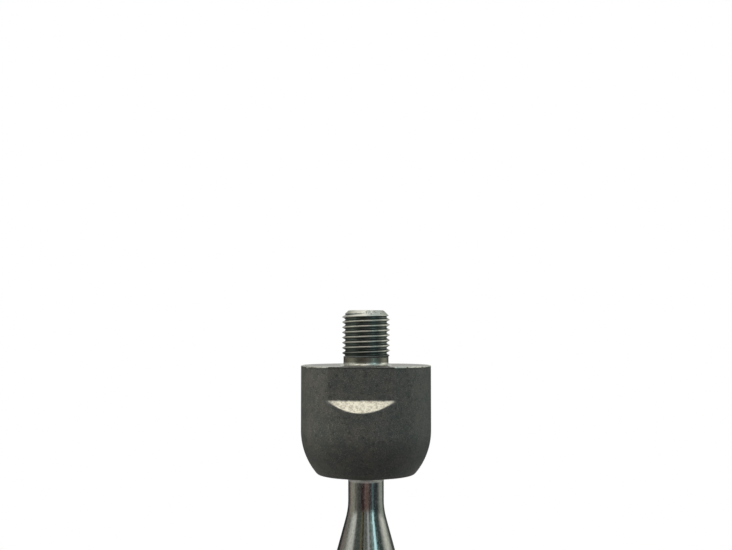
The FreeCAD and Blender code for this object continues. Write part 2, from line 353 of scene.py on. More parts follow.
def add_stud(lathe):
    """The rack stud: end face, chamfer, thread, neck and the fillet at its foot."""
    turn = lathe.turn
    nick = dents(turn, STUD_NICKS)
    tip_radius = STUD_TIP_RADIUS - nick
    for share in STUD_TIP_SHARES:
        lathe.add(tip_radius * share, stud_length, turned=1.0)
    lathe.add(tip_radius - STUD_TIP_EDGE, stud_length, turned=0.6, wear=0.5)
    lathe.add(tip_radius + STUD_TIP_STEP, stud_length - STUD_TIP_EDGE, wear=1.0)
    start = stud_length + STUD_THREAD_RISE
    height = thread_heights(turn, start, stud_length - ROW_GAP, STUD_NECK_TOP, STUD_THREAD_STEPS)
    depth = thread_depth(height, turn, start)
    cut = STUD_CREST_RADIUS - depth * (STUD_CREST_RADIUS - STUD_ROOT_RADIUS)
    fade = smooth_step((height - STUD_NECK_TOP) / STUD_FADE_HEIGHT)
    thread = STUD_NECK_RADIUS + (cut - STUD_NECK_RADIUS) * fade
    nick_left = nick * smooth_step((height - STUD_NICK_FOOT) / STUD_NICK_BLEND)
    chamfer = STUD_TIP_RADIUS + stud_length - height - nick_left
    bare = smooth_step((thread - chamfer) / BARE_BLEND + 1)
    # The crests' painted highlight grows over this height above the stud's neck.
    crest_strength = smooth_step((height - STUD_NECK_TOP - STUD_CREST_RISE) / STUD_CREST_RISE)
    crest = (1 - depth) * fade * (0.5 + 0.5 * crest_strength)
    lathe.add(np.minimum(thread, chamfer), height, crest=crest, wear=bare, threaded=fade)
    # The bright ring starts above the thread's last row, so the surface folds back there.
    lathe.add_points(wall_points(STUD_NECK_RADIUS, STUD_RING_HEIGHTS, 3), wear=0.9)
    lathe.add_points(wall_points(STUD_NECK_RADIUS, STUD_NECK_HEIGHTS, 4), neck=1.0)
    fillet_centre = (STUD_NECK_RADIUS + STUD_BASE_FILLET, STUD_BASE_FILLET)
    fillet = arc_points(fillet_centre, STUD_BASE_FILLET, 180, 270, 9)
    # The fillet carries a painted highlight in the mask that also marks wear.
    fillet_highlight = np.clip(spaced(*STUD_FILLET_HIGHLIGHT, len(fillet)), 0, 1)[:, None]
    lathe.add_points(fillet, neck=1.0, wear=fillet_highlight)


def flat_distance(height):
    """The distance of the wrench flats from the axis at a height, with their sloped ends."""
    climb = -soft_min(0.0, (height - FLAT_END) / FLAT_RUNOUT, FLAT_END_BLEND / FLAT_RUNOUT)
    return HOUSING_FLAT + (housing_radius - HOUSING_FLAT) * np.clip(climb, 0, FLAT_LIMIT_STEPS)


def add_seating_face(lathe):
    """The turned face round the stud, out to the broken edge of the rim."""
    turn = lathe.turn[None]
    uneven = 1 + RIM_RAGGED * ragged(turn, (5, 9, 14, 23, 37, 61), 3) + dents(turn, RIM_NICKS)
    rim_break = RIM_BREAK * uneven
    inner = STUD_NECK_RADIUS + STUD_BASE_FILLET
    reach = flat_limit(turn, HOUSING_FLAT - rim_break)
    edge = soft_min(housing_radius - rim_break, reach, EDGE_WIDTH)
    shares = np.array(FACE_SHARES)[:, None]
    worn_and_highlight = smooth_step((shares - FACE_WEAR_START) / (1 - FACE_WEAR_START))
    lathe.add(inner + (edge - inner) * shares, 0.0, turned=1.0, wear=worn_and_highlight)
    limit = flat_limit(turn, HOUSING_FLAT)
    on_flat = smooth_step((housing_radius - limit) / RIM_FLAT_BLEND)
    # On the flats, the lower part of the rim's break gets painted shade in place of wear, a dark line
    # under the bright rim.
    for angle in np.radians(spaced(15, 90, 6)):
        inset = rim_break * (1 - math.sin(angle))
        drop = rim_break * (1 - math.cos(angle))
        rim = soft_min(housing_radius - inset, flat_limit(turn, HOUSING_FLAT - inset), EDGE_WIDTH)
        rim_shade = on_flat * smooth_step((angle - RIM_SHADE_FROM) / RIM_SHADE_BLEND)
        lathe.add(rim, -drop, wear=1 - rim_shade, shade=RIM_PAINTED_SHADE * rim_shade)
    # The two rows under the rim carry painted shade.
    foot = soft_min(housing_radius, limit, EDGE_WIDTH)
    lathe.add(foot, -rim_break - RIM_FOOT_DROP, shade=RIM_FOOT_SHADE + RIM_FOOT_FLAT_SHADE * on_flat)
    lathe.add(foot, -rim_break - RIM_WALL_DROP, shade=RIM_WALL_SHADE)


def add_housing_wall(lathe):
    """The cylinder with its two wrench flats and the sloped ends of the flats."""
    turn = lathe.turn[None]
    height = np.concatenate([spaced(*rows) for rows in WALL_ROWS])[:, None]
    limit = flat_limit(turn, flat_distance(height))
    from_edge = limit - housing_radius
    cut = smooth_step(-from_edge / BARE_BLEND)
    start = FLAT_END + MILLED_LEAD + MILLED_RAGGED * ragged(turn, (31, 47, 83), 9)
    milled = smooth_step((start - height) / MILLED_BLEND) * cut
    tip = bell(height - FLAT_END + SCUFF_BELOW, SCUFF_HEIGHT)
    scuff = tip * bell(from_edge, SCUFF_WIDTH)
    wear = EDGE_BAND_WEAR * bell(from_edge, EDGE_BAND)
    radius = soft_min(housing_radius, limit, EDGE_WIDTH)
    lathe.add(radius, height, milled=milled, wear=wear, scuff=scuff)


def lip_corner():
    """The centre of the rounding between the dome and the face under the lip, and its angles."""
    slope = math.radians(LIP_FACE_ANGLE)
    outward = np.array([math.cos(slope), math.sin(slope)])
    inward = np.array([-math.sin(slope), math.cos(slope)])
    edge = np.array([MOUTH_RADIUS, LIP_BOTTOM])
    offset = edge + inward * LIP_CORNER_RADIUS - np.array([0, DOME_START])
    reach = housing_radius - LIP_CORNER_RADIUS
    ahead = offset @ outward
    run = math.sqrt(ahead ** 2 - offset @ offset + reach ** 2) - ahead
    centre = edge + outward * run + inward * LIP_CORNER_RADIUS
    dome_angle = math.degrees(math.atan2(centre[1] - DOME_START, centre[0]))
    return centre, dome_angle, LIP_FACE_ANGLE - 90


def add_lip_and_cavity(lathe):
    """The dome, the rolled lip with its mouth, and the hollow inside."""
    centre, dome_angle, face_angle = lip_corner()
    dome = arc_points((0, DOME_START), housing_radius, 0, dome_angle, 44)[1:]
    corner = arc_points(centre, LIP_CORNER_RADIUS, dome_angle, face_angle, 9)[1:]
    slope = math.radians(LIP_FACE_ANGLE)
    out = LIP_EDGE_RADIUS / math.tan(math.radians(90 - LIP_FACE_ANGLE) / 2)
    edge_start = (MOUTH_RADIUS + out * math.cos(slope), LIP_BOTTOM + out * math.sin(slope))
    edge_centre = (MOUTH_RADIUS + LIP_EDGE_RADIUS, LIP_BOTTOM + out)
    under = line_points(corner[-1], edge_start, 6)[1:]
    edge = arc_points(edge_centre, LIP_EDGE_RADIUS, face_angle, -180, 7)[1:]
    # Painted shade, strongest on the middle of the dome.
    dome_shade = PAINTED_DOME_SHADE * np.sin(np.pi * spaced(0, 1, len(dome)))[:, None]
    lathe.add_points(dome, shade=dome_shade)
    lathe.add_points(corner)
    lathe.add_points(under)
    lathe.add_points(edge, wear=0.3)
    lathe.add_points(wall_points(MOUTH_RADIUS, (LIP_BOTTOM + MOUTH_WALL_RISE, LIP_SEAT_BOTTOM), 3))
    lathe.add_points(line_points((MOUTH_RADIUS, LIP_SEAT_BOTTOM), (CAVITY_RADIUS, LIP_SEAT_TOP), 5)[1:])
    lathe.add_points(wall_points(CAVITY_RADIUS, (LIP_SEAT_TOP, CAVITY_FLOOR), 6)[1:])
    lathe.add_points(line_points((CAVITY_RADIUS - 1, CAVITY_FLOOR), (0, CAVITY_FLOOR), 4))


def make_housing():
    """The forged housing with its stud, flats and lip in one mesh."""
    chord = math.degrees(math.asin(HOUSING_FLAT / housing_radius))
    lathe = Lathe(columns_round(HOUSING_COLUMNS, (chord, 180 - chord, 180 + chord, 360 - chord)))
    add_stud(lathe)
    add_seating_face(lathe)
    add_housing_wall(lathe)
    add_lip_and_cavity(lathe)
    masks = ("wear", "crest", "turned", "milled", "neck", "threaded", "shade", "scuff")
    return lathe.build("socket_housing_forging", masks)


def ball_and_cone_points():
    """The profile from the ball's pole down to the shank."""
    reach = ball_radius + NECK_FILLET
    fillet_angle = math.degrees(math.asin((NECK_RADIUS + NECK_FILLET) / reach))
    centre = (0, BALL_CENTRE)
    pole_angle = math.degrees(math.asin((ball_pole - BALL_CENTRE) / ball_radius))
    pole_radius = ball_radius * math.cos(math.radians(pole_angle))
    turn_angle = fillet_angle - 90
    fillet_height = BALL_CENTRE + reach * math.sin(math.radians(turn_angle))
    fillet_centre = (NECK_RADIUS + NECK_FILLET, fillet_height)
    slope = math.radians(CONE_ANGLE)
    cone_radius = NECK_RADIUS + CONE_BLEND * (1 - math.cos(slope))
    cone_top = (cone_radius, CONE_START - CONE_BLEND * math.sin(slope))
    end_radius = SHANK_RADIUS - SHOULDER_BLEND * (1 - math.cos(slope))
    end_height = cone_top[1] - (end_radius - cone_top[0]) / math.tan(slope)
    shank_top = end_height - SHOULDER_BLEND * math.sin(slope)
    return np.vstack([
        line_points((0, ball_pole), (pole_radius, ball_pole), 4),
        arc_points(centre, ball_radius, pole_angle, turn_angle, 70)[1:],
        arc_points(fillet_centre, NECK_FILLET, turn_angle + 180, 180, 10)[1:],
        wall_points(NECK_RADIUS, (fillet_height, CONE_START), 6)[1:],
        arc_points((NECK_RADIUS + CONE_BLEND, CONE_START), CONE_BLEND, 180, 180 + CONE_ANGLE, 12)[1:],
        line_points(cone_top, (end_radius, end_height), 8)[1:],
        arc_points((SHANK_RADIUS - SHOULDER_BLEND, shank_top), SHOULDER_BLEND, CONE_ANGLE, 0, 10)[1:],
    ])


def add_shank(lathe):
    """The shank with the groove of its boot seat."""
    depth = SHANK_RADIUS - BOOT_SEAT_RADIUS
    side = [
        (SHANK_RADIUS - EDGE_BREAK, 0.0),
        (BOOT_SEAT_RADIUS + GROOVE_FILLET, depth - EDGE_BREAK),
        (BOOT_SEAT_RADIUS, depth + ROW_GAP),
    ]
    seat = (boot_seat_top - BOOT_SEAT_MARGIN, boot_seat_bottom + BOOT_SEAT_MARGIN)
    lathe.add_points(wall_points(SHANK_RADIUS, (SHANK_ROWS_TOP, boot_seat_top + ROW_GAP), 12))
    lathe.add_points([(radius, boot_seat_top - inward) for radius, inward in side])
    lathe.add_points(wall_points(BOOT_SEAT_RADIUS, seat, 5))
    lathe.add_points([(radius, boot_seat_bottom + inward) for radius, inward in reversed(side)])
    lathe.add_points(wall_points(SHANK_RADIUS, (boot_seat_bottom - ROW_GAP, SHANK_ROWS_BOTTOM), 9))


def add_shank_flats(lathe):
    """The stretch of the shank with its two milled wrench flats."""
    height = np.concatenate([
        spaced(shank_flat_high + SHANK_CUTTER_RADIUS, shank_flat_high, 25),
        spaced(shank_flat_high, shank_flat_low, 8)[1:-1],
        spaced(shank_flat_low, shank_flat_low - SHANK_CUTTER_RADIUS, 25),
    ])[:, None]
    past = np.maximum(np.maximum(height - shank_flat_high, shank_flat_low - height), 0)
    rise = SHANK_CUTTER_RADIUS - np.sqrt(np.maximum(SHANK_CUTTER_RADIUS ** 2 - past ** 2, 0))
    limit = flat_limit(lathe.turn[None], SHANK_FLAT + rise)
    milled = smooth_step((SHANK_RADIUS - limit) / SHANK_FLAT_BLEND)
    lathe.add(soft_min(SHANK_RADIUS, limit, EDGE_WIDTH), height, milled=milled)


def add_outer_thread(lathe):
    """The outer thread, from the shank's shoulder to the tip with its centre hole."""
    turn = lathe.turn
    lathe.add_points(wall_points(SHANK_RADIUS, (THREAD_ROWS_TOP, shank_bottom + ROW_GAP), 4))
    lathe.add_points([
        (SHANK_RADIUS - EDGE_BREAK, shank_bottom),
        (OUTER_CREST_RADIUS, outer_thread_top + ROW_GAP),
    ])
    height = thread_heights(
        turn, outer_thread_top, outer_thread_top, rod_tip + ROW_GAP, OUTER_THREAD_STEPS
    )
    depth = thread_depth(height, turn, outer_thread_top)
    fade = smooth_step((outer_thread_top - height) / OUTER_FADE_HEIGHT)
    blank = (OUTER_CREST_RADIUS + OUTER_ROOT_RADIUS) / 2
    cut = OUTER_CREST_RADIUS - depth * (OUTER_CREST_RADIUS - OUTER_ROOT_RADIUS)
    thread = blank + (cut - blank) * fade
    tip_radius = OUTER_CREST_RADIUS - TIP_CHAMFER
    chamfer = tip_radius + height - rod_tip
    bare = smooth_step((thread - chamfer) / BARE_BLEND + 1)
    crest = (1 - depth) * fade
    lathe.add(np.minimum(thread, chamfer), height, crest=crest, wear=bare, threaded=fade)
    end_face = line_points(
        (tip_radius - TIP_EDGE, rod_tip), (CENTRE_HOLE_RADIUS + ROW_GAP, rod_tip), 6
    )
    lathe.add_points(end_face, turned=1.0)
    hole_edge = (CENTRE_HOLE_RADIUS, rod_tip + CENTRE_HOLE_EDGE)
    lathe.add_points(line_points(hole_edge, (0, rod_tip + CENTRE_HOLE_DEPTH), 5))


def make_rod():
    """The rod with its ball, neck, cone, shank and outer thread in one mesh."""
    lathe = Lathe(columns_round(ROD_COLUMNS))
    lathe.add_points(ball_and_cone_points())
    add_shank(lathe)
    add_shank_flats(lathe)
    add_outer_thread(lathe)
    return lathe.build("tie_rod_forging", ("wear", "crest", "turned", "milled", "threaded"))


def mirrored(points, height):
    """Points of a profile reflected at a height, in the reverse order."""
    return [(radius, 2 * height - level) for radius, level in reversed(points)]


def hexagon_reach(turn, apothem):
    """How far a hexagon with slightly rounded corners reaches from the axis at each angle."""
    reach = np.full_like(turn, 2 * apothem)
    for side in range(6):
        facing = np.cos(turn - math.radians(30 + 60 * side))
        limit = apothem / np.maximum(facing, LEAST_FACING)
        reach = soft_min(reach, limit, NUT_CORNER_ROUNDING)
    return reach


def make_nut():
    """The jam nut: a hexagon with turned chamfers and a countersunk bore."""
    lathe = Lathe(columns_round(ROD_COLUMNS, range(0, 360, 60)))
    side = hexagon_reach(lathe.turn, nut_apothem)[None]
    slope = math.tan(math.radians(NUT_CHAMFER_ANGLE))
    drop = (side - NUT_FACE_RADIUS) * slope
    shares = spaced(0, 1, 9)[:, None]
    outward = (side - NUT_FACE_RADIUS) * shares
    chamfer = NUT_FACE_RADIUS + outward
    edge = smooth_step((shares - NUT_WEAR_START) / (1 - NUT_WEAR_START))
    past_apothem = side / nut_apothem - NUT_CORNER_START
    corner = smooth_step(past_apothem / NUT_CORNER_BLEND)
    sink = NUT_COUNTERSINK
    sunk_edge = NUT_BORE_RADIUS + sink
    middle = (nut_top + nut_bottom) / 2
    bore = [
        (NUT_BORE_RADIUS, middle),
        (NUT_BORE_RADIUS, nut_top - sink - ROW_GAP),
        (NUT_BORE_RADIUS + EDGE_BREAK, nut_top - sink),
    ]
    rim = [(sunk_edge, nut_top - NUT_RIM_EDGE), (sunk_edge + ROW_GAP, nut_top)]
    face = line_points((sunk_edge + NUT_FACE_INSET, nut_top), (NUT_FACE_RADIUS - ROW_GAP, nut_top), 7)
    lathe.add_points(bore)
    lathe.add_points(rim, wear=NUT_EDGE_WEAR)
    lathe.add_points(face, turned=1.0)
    lathe.add(chamfer, nut_top - outward * slope, wear=edge)
    for share in spaced(0.02, 0.98, 15):
        height = nut_top - drop + (nut_bottom - nut_top + 2 * drop) * share
        lathe.add(side, height, wear=NUT_CORNER_WEAR * corner)
    lathe.add(chamfer[::-1], nut_bottom + outward[::-1] * slope, wear=edge[::-1])
    lathe.add_points(mirrored(face, middle), turned=1.0)
    lathe.add_points(mirrored(rim, middle), wear=NUT_EDGE_WEAR)
    lathe.add_points(mirrored(bore, middle))
    return lathe.build("jam_nut_hexagon", ("wear", "turned"))


class Finish:
    """A material's node tree, with short ways to add the nodes it needs."""

    def __init__(self, name):
        self.material = bpy.data.materials.new(name)
        self.material.use_nodes = True
        self.tree = self.material.node_tree
        self.shader = self.tree.nodes["Principled BSDF"]
        self.place = self.new("ShaderNodeTexCoord").outputs["Object"]

    def new(self, kind, **settings):
        """A node of a kind with its settings."""
        node = self.tree.nodes.new(kind)
        for name, value in settings.items():
            setattr(node, name, value)
        return node

    def join(self, source, target):
        """Sets a socket from another socket or from a plain value."""
        if isinstance(source, bpy.types.NodeSocket):
            self.tree.links.new(source, target)
        else:
            target.default_value = source

    def math(self, operation, first, second=0.0, clamp=False):
        """The result of an operation on one or two numbers."""
        node = self.new("ShaderNodeMath", operation=operation, use_clamp=clamp)
        self.join(first, node.inputs[0])
        self.join(second, node.inputs[1])
        return node.outputs[0]

    def ramp(self, value, low, high, to_low=0.0, to_high=1.0):
        """A number taken from one range to another, held at its ends."""
        node = self.new("ShaderNodeMapRange", interpolation_type="SMOOTHSTEP")
        for index, item in enumerate((value, low, high, to_low, to_high)):
            self.join(item, node.inputs[index])
        return node.outputs[0]

    def mask(self, name):
        """A mask that the mesh carries."""
        return self.new("ShaderNodeAttribute", attribute_name=name).outputs["Fac"]

    def noise(self, size_mm, detail=2.0, roughness=0.5, stretch=(1, 1, 1)):
        """Noise whose grains are about a size, between 0 and 1."""
        spread = self.new("ShaderNodeMapping")
        self.join(self.place, spread.inputs["Vector"])
        spread.inputs["Scale"].default_value = [share / (size_mm * METRES_PER_MM) for share in stretch]
        node = self.new("ShaderNodeTexNoise")
        self.join(spread.outputs[0], node.inputs["Vector"])
        node.inputs["Scale"].default_value = 1.0
        node.inputs["Detail"].default_value = detail
        node.inputs["Roughness"].default_value = roughness
        return node.outputs["Fac"]

    def mix(self, share, first, second):
        """A colour between two, by a share."""
        node = self.new("ShaderNodeMix", data_type="RGBA")
        self.join(share, node.inputs["Factor"])
        for colour, name in ((first, "A"), (second, "B")):
            plain = not isinstance(colour, bpy.types.NodeSocket)
            self.join((*colour, 1) if plain else colour, node.inputs[name])
        return node.outputs["Result"]

    def from_axis(self):
        """The distance from the rod's axis, in metres."""
        flat = self.new("ShaderNodeVectorMath", operation="MULTIPLY")
        self.join(self.place, flat.inputs[0])
        flat.inputs[1].default_value = (1, 1, 0)
        size = self.new("ShaderNodeVectorMath", operation="LENGTH")
        self.join(flat.outputs[0], size.inputs[0])
        return size.outputs["Value"]

    def rings(self, width_mm):
        """Uneven fine rings about the axis, as a lathe tool leaves on a face."""
        spread = self.new("ShaderNodeCombineXYZ")
        share = self.math("MULTIPLY", self.from_axis(), 1 / (width_mm * METRES_PER_MM))
        self.join(share, spread.inputs[0])
        node = self.new("ShaderNodeTexNoise")
        self.join(spread.outputs[0], node.inputs["Vector"])
        node.inputs["Scale"].default_value = 1.0
        node.inputs["Detail"].default_value = 3.0
        return node.outputs["Fac"]

    def bump(self, height, strength, depth_mm):
        """Relief of a given depth, added to the surface."""
        node = self.new("ShaderNodeBump")
        self.join(height, node.inputs["Height"])
        node.inputs["Strength"].default_value = strength
        node.inputs["Distance"].default_value = depth_mm * METRES_PER_MM
        self.join(node.outputs[0], self.shader.inputs["Normal"])

    def set(self, **values):
        """Constants and links of the shader, by the names of its sockets."""
        for name, value in values.items():
            self.join(value, self.shader.inputs[name.replace("_", " ")])
        return self.material


# Colours of the steels, as linear red, green and blue
PHOSPHATE_SPECK = (0.2, 0.2, 0.175)
PHOSPHATE_PIT = (0.016, 0.019, 0.018)
PHOSPHATE_SPOT = (0.2, 0.2, 0.18)
HOUSING_DARK = (0.05, 0.056, 0.053)
HOUSING_WARM = (0.077, 0.075, 0.067)
FACE_DARK = (0.09, 0.087, 0.079)
FACE_LIGHT = (0.165, 0.158, 0.145)
FACE_CLOUD = (0.06, 0.062, 0.06)
FACE_PIT = (0.05, 0.05, 0.047)
NECK_DARK = (0.25, 0.245, 0.2)
NECK_LIGHT = (0.42, 0.4, 0.35)
# The stud's thread: painted shade in the valleys and a painted highlight on the crests.
VALLEY_DARK = (0.11, 0.13, 0.13)
VALLEY_LIGHT = (0.26, 0.29, 0.27)
CREST = (0.95, 0.93, 0.86)
MILLED_DARK = (0.5, 0.47, 0.41)
MILLED_LIGHT = (0.88, 0.85, 0.73)
SCUFFED = (0.24, 0.235, 0.22)
WORN_AND_HIGHLIGHT = (0.9, 0.89, 0.83)
SHADED = (0.008, 0.009, 0.009)
ROD_DARK = (0.4, 0.4, 0.385)
ROD_LIGHT = (0.54, 0.535, 0.52)
ROD_VALLEY_DARK = (0.2, 0.2, 0.195)
ROD_VALLEY_LIGHT = (0.34, 0.34, 0.33)
ROD_CREST = (0.6, 0.59, 0.57)
ROD_MILLED = (0.35, 0.34, 0.32)
NUT_DARK = (0.05, 0.052, 0.05)
NUT_WARM = (0.07, 0.068, 0.062)
NUT_FACE_DARK = (0.1, 0.098, 0.09)
NUT_FACE_LIGHT = (0.2, 0.195, 0.18)
NUT_WORN = (0.45, 0.44, 0.41)


def phosphated_finish(name, dark, warm):
    """Oiled phosphated steel, speckled and clouded."""
    finish = Finish(name)
    clouds = finish.noise(3.5, 5.0, 0.7)
    speckle = finish.noise(0.3, 2.0, 0.6)
    grain = finish.noise(0.8, 4.0, 0.75)
    body = finish.mix(finish.ramp(clouds, 0.36, 0.64), dark, warm)
    body = finish.mix(finish.ramp(speckle, 0.5, 0.72, 0, 0.6), body, PHOSPHATE_SPECK)
    body = finish.mix(finish.ramp(grain, 0.48, 0.3, 0, 0.85), body, PHOSPHATE_PIT)
    spots = finish.ramp(finish.noise(1.1, 1.0), 0.74, 0.8, 0, 0.5)
    body = finish.mix(spots, body, PHOSPHATE_SPOT)
    return finish, body, speckle, grain


def housing_finish():
    """The housing's steel: phosphated forging, turned faces, thread and milled slopes, with painted
    shade and painted highlights.
    """
    name = "phosphated_steel_housing"
    finish, body, speckle, grain = phosphated_finish(name, HOUSING_DARK, HOUSING_WARM)
    rings = finish.rings(0.09)
    clouds = finish.noise(6.0, 3.0, 0.6)
    face = finish.mix(finish.ramp(rings, 0.3, 0.7), FACE_DARK, FACE_LIGHT)
    face = finish.mix(finish.ramp(clouds, 0.35, 0.65, 0, 0.4), face, FACE_CLOUD)
    face = finish.mix(finish.ramp(grain, 0.5, 0.35, 0, 0.5), face, FACE_PIT)
    neck = finish.mix(grain, NECK_DARK, NECK_LIGHT)
    # Painted shade in the thread's valleys and a painted highlight on its crests.
    valley = finish.mix(speckle, VALLEY_DARK, VALLEY_LIGHT)
    thread = finish.mix(finish.ramp(finish.mask("crest"), 0.45, 0.95), valley, CREST)
    milled = finish.mix(finish.ramp(grain, 0.36, 0.6), MILLED_DARK, MILLED_LIGHT)
    scuffed = finish.math("MULTIPLY", finish.mask("scuff"), 0.5)
    chips = finish.ramp(finish.noise(0.9, 3.0, 0.7), 0.3, 0.5)
    worn_and_highlight = finish.math("MULTIPLY", finish.mask("wear"), chips)
    colour = finish.mix(finish.mask("turned"), body, face)
    colour = finish.mix(finish.mask("neck"), colour, neck)
    colour = finish.mix(finish.mask("threaded"), colour, thread)
    colour = finish.mix(finish.mask("milled"), colour, milled)
    colour = finish.mix(scuffed, colour, SCUFFED)
    # Bare steel where worn, and a painted highlight on the stud's fillet.
    colour = finish.mix(worn_and_highlight, colour, WORN_AND_HIGHLIGHT)
    # Painted shade: a dark line under the rim and the dome's darker middle.
    colour = finish.mix(finish.mask("shade"), colour, SHADED)
    bare = finish.mask("threaded")
    for mask in ("wear", "turned", "milled", "neck"):
        bare = finish.math("ADD", bare, finish.mask(mask), clamp=True)
    relief = finish.math("ADD", finish.math("MULTIPLY", finish.mask("turned"), rings), speckle)
    finish.bump(relief, 0.4, 0.02)
    return finish.set(
        Base_Color=colour,
        Metallic=finish.ramp(bare, 0.0, 1.0, 0.22, 1.0),
        Roughness=finish.ramp(bare, 0.0, 1.0, 0.5, 0.36),
    )


def rod_finish():
    """The rod's ground steel, with a fine mottle, a dark thread and bright crests."""
    finish = Finish("ground_steel_rod")
    mottle = finish.noise(0.5, 4.0, 0.7, (1, 1, 0.6))
    scratches = finish.noise(0.12, 2.0, 0.6, (0.15, 0.15, 3.0))
    colour = finish.mix(finish.ramp(mottle, 0.35, 0.65), ROD_DARK, ROD_LIGHT)
    valley = finish.mix(mottle, ROD_VALLEY_DARK, ROD_VALLEY_LIGHT)
    thread = finish.mix(finish.ramp(finish.mask("crest"), 0.55, 1.0), valley, ROD_CREST)
    colour = finish.mix(finish.mask("threaded"), colour, thread)
    colour = finish.mix(finish.math("MULTIPLY", finish.mask("milled"), 0.5), colour, ROD_MILLED)
    plain = finish.ramp(mottle, 0.3, 0.7, 0.1, 0.22)
    rough = finish.math("ADD", finish.mask("threaded"), finish.mask("milled"), clamp=True)
    roughness = finish.math("ADD", plain, finish.math("MULTIPLY", rough, 0.18))
    finish.bump(finish.math("ADD", scratches, mottle), 0.2, 0.004)
    return finish.set(Base_Color=colour, Metallic=1.0, Roughness=roughness)


def nut_finish():
    """The jam nut's phosphated steel, bright at its corners."""
    finish, body, speckle, grain = phosphated_finish("phosphated_steel_nut", NUT_DARK, NUT_WARM)
    rings = finish.rings(0.12)
    face = finish.mix(finish.ramp(rings, 0.3, 0.7), NUT_FACE_DARK, NUT_FACE_LIGHT)
    colour = finish.mix(finish.mask("turned"), body, face)
    worn_and_highlight = finish.math("MULTIPLY", finish.mask("wear"), finish.ramp(grain, 0.4, 0.6))
    colour = finish.mix(worn_and_highlight, colour, NUT_WORN)
    finish.bump(finish.math("ADD", speckle, grain), 0.3, 0.02)
    roughness = finish.ramp(worn_and_highlight, 0.0, 1.0, 0.46, 0.3)
    return finish.set(Base_Color=colour, Metallic=0.85, Roughness=roughness)


def plastic_finish():
    """The natural acetal of the bearings."""
    finish = Finish("bearing_acetal")
    cloud = finish.noise(3.0, 2.0)
    colour = finish.mix(cloud, (0.66, 0.64, 0.57), (0.74, 0.72, 0.66))
    finish.bump(finish.noise(0.3), 0.2, 0.01)
    return finish.set(Base_Color=colour, Roughness=finish.ramp(cloud, 0.2, 0.8, 0.36, 0.48))


def grease_finish():
    """Amber grease."""
    finish = Finish("amber_grease")
    cloud = finish.noise(1.5, 3.0)
    colour = finish.mix(cloud, (0.4, 0.29, 0.09), (0.52, 0.4, 0.15))
    finish.bump(cloud, 0.4, 0.1)
    return finish.set(Base_Color=colour, Roughness=finish.ramp(cloud, 0.2, 0.8, 0.18, 0.3))


def spring_finish():
    """The hardened, oiled strip of the disc spring and the washer."""
    finish = Finish("oiled_spring_steel")
    cloud = finish.noise(2.0, 3.0)
    colour = finish.mix(cloud, (0.1, 0.1, 0.11), (0.19, 0.185, 0.175))
    finish.bump(finish.noise(0.3), 0.2, 0.01)
    roughness = finish.ramp(cloud, 0.2, 0.8, 0.28, 0.42)
    return finish.set(Base_Color=colour, Metallic=1.0, Roughness=roughness)


def dress(piece, material, body, node):
    """Gives a piece its material and its body, and hides the CAD node it stands for."""
    piece.data.materials.clear()
    piece.data.materials.append(material)
    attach(piece, body)
    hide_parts(node)


def dress_cad_node(node, material):
    """Gives a carried-over CAD node its material."""
    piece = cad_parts[node]
    for index in range(len(piece.data.materials)):
        piece.data.materials[index] = material


# Studio, in metres. Azimuths are in degrees to the right of the camera, as seen from the object.
# The rows of the screen's wall are its first and last elevation and their count.
CAMERA_AZIMUTH = 4.7
CAMERA_DISTANCE = 0.32
CAMERA_HEIGHT = 0.0099
CAMERA_TILT = 2.957
CAMERA_LENS = 53.54
WORLD_BELOW = 0.04
WORLD_ABOVE = 0.55
WORLD_BLEND = 0.5
FLOOR_HEIGHT = rod_low.z - 0.0005
FLOOR_SIZE = 12.0
FLOOR_COLOUR = (0.8, 0.8, 0.79, 1)
FLOOR_FADE = (0.25, 0.9)
SCREEN_RADIUS = 0.8
SCREEN_COLUMNS = 73
SCREEN_WALL_ROWS = (-15, 85, 34)
SCREEN_MAT_SHARES = (0.01, 0.3, 0.6, 1.0)
SCREEN_MAT_ELEVATION = -20.0
SCREEN_MAT_HEIGHT = rod_low.z - 0.0002
SCREEN_MIDDLE = -0.03
SCREEN_STRENGTH = 2.0
MAT_ELEVATION = (-18.0, -13.5)
MAT_COLOUR = (0.6, 0.6, 0.58)
MAT_SHARE = 0.45
LOW_ELEVATION = (1.0, 9.0)
HIGH_ELEVATION = (38.0, 58.0)

# Lamps, each with its azimuth, elevation, distance, width, height, power and colour
SOFTBOXES = {
    "key": (-20, 50, 1.0, 1.0, 0.9, 10.0, (1.0, 0.99, 0.97)),
    "left_fill": (-100, 10, 1.1, 0.8, 1.2, 7.5, (1.0, 0.97, 0.87)),
    "right_fill": (100, 10, 1.1, 0.8, 1.2, 4.3, (0.82, 0.97, 1.0)),
    "back_fill": (180, 40, 1.1, 1.0, 0.9, 8.0, (1.0, 1.0, 1.0)),
}

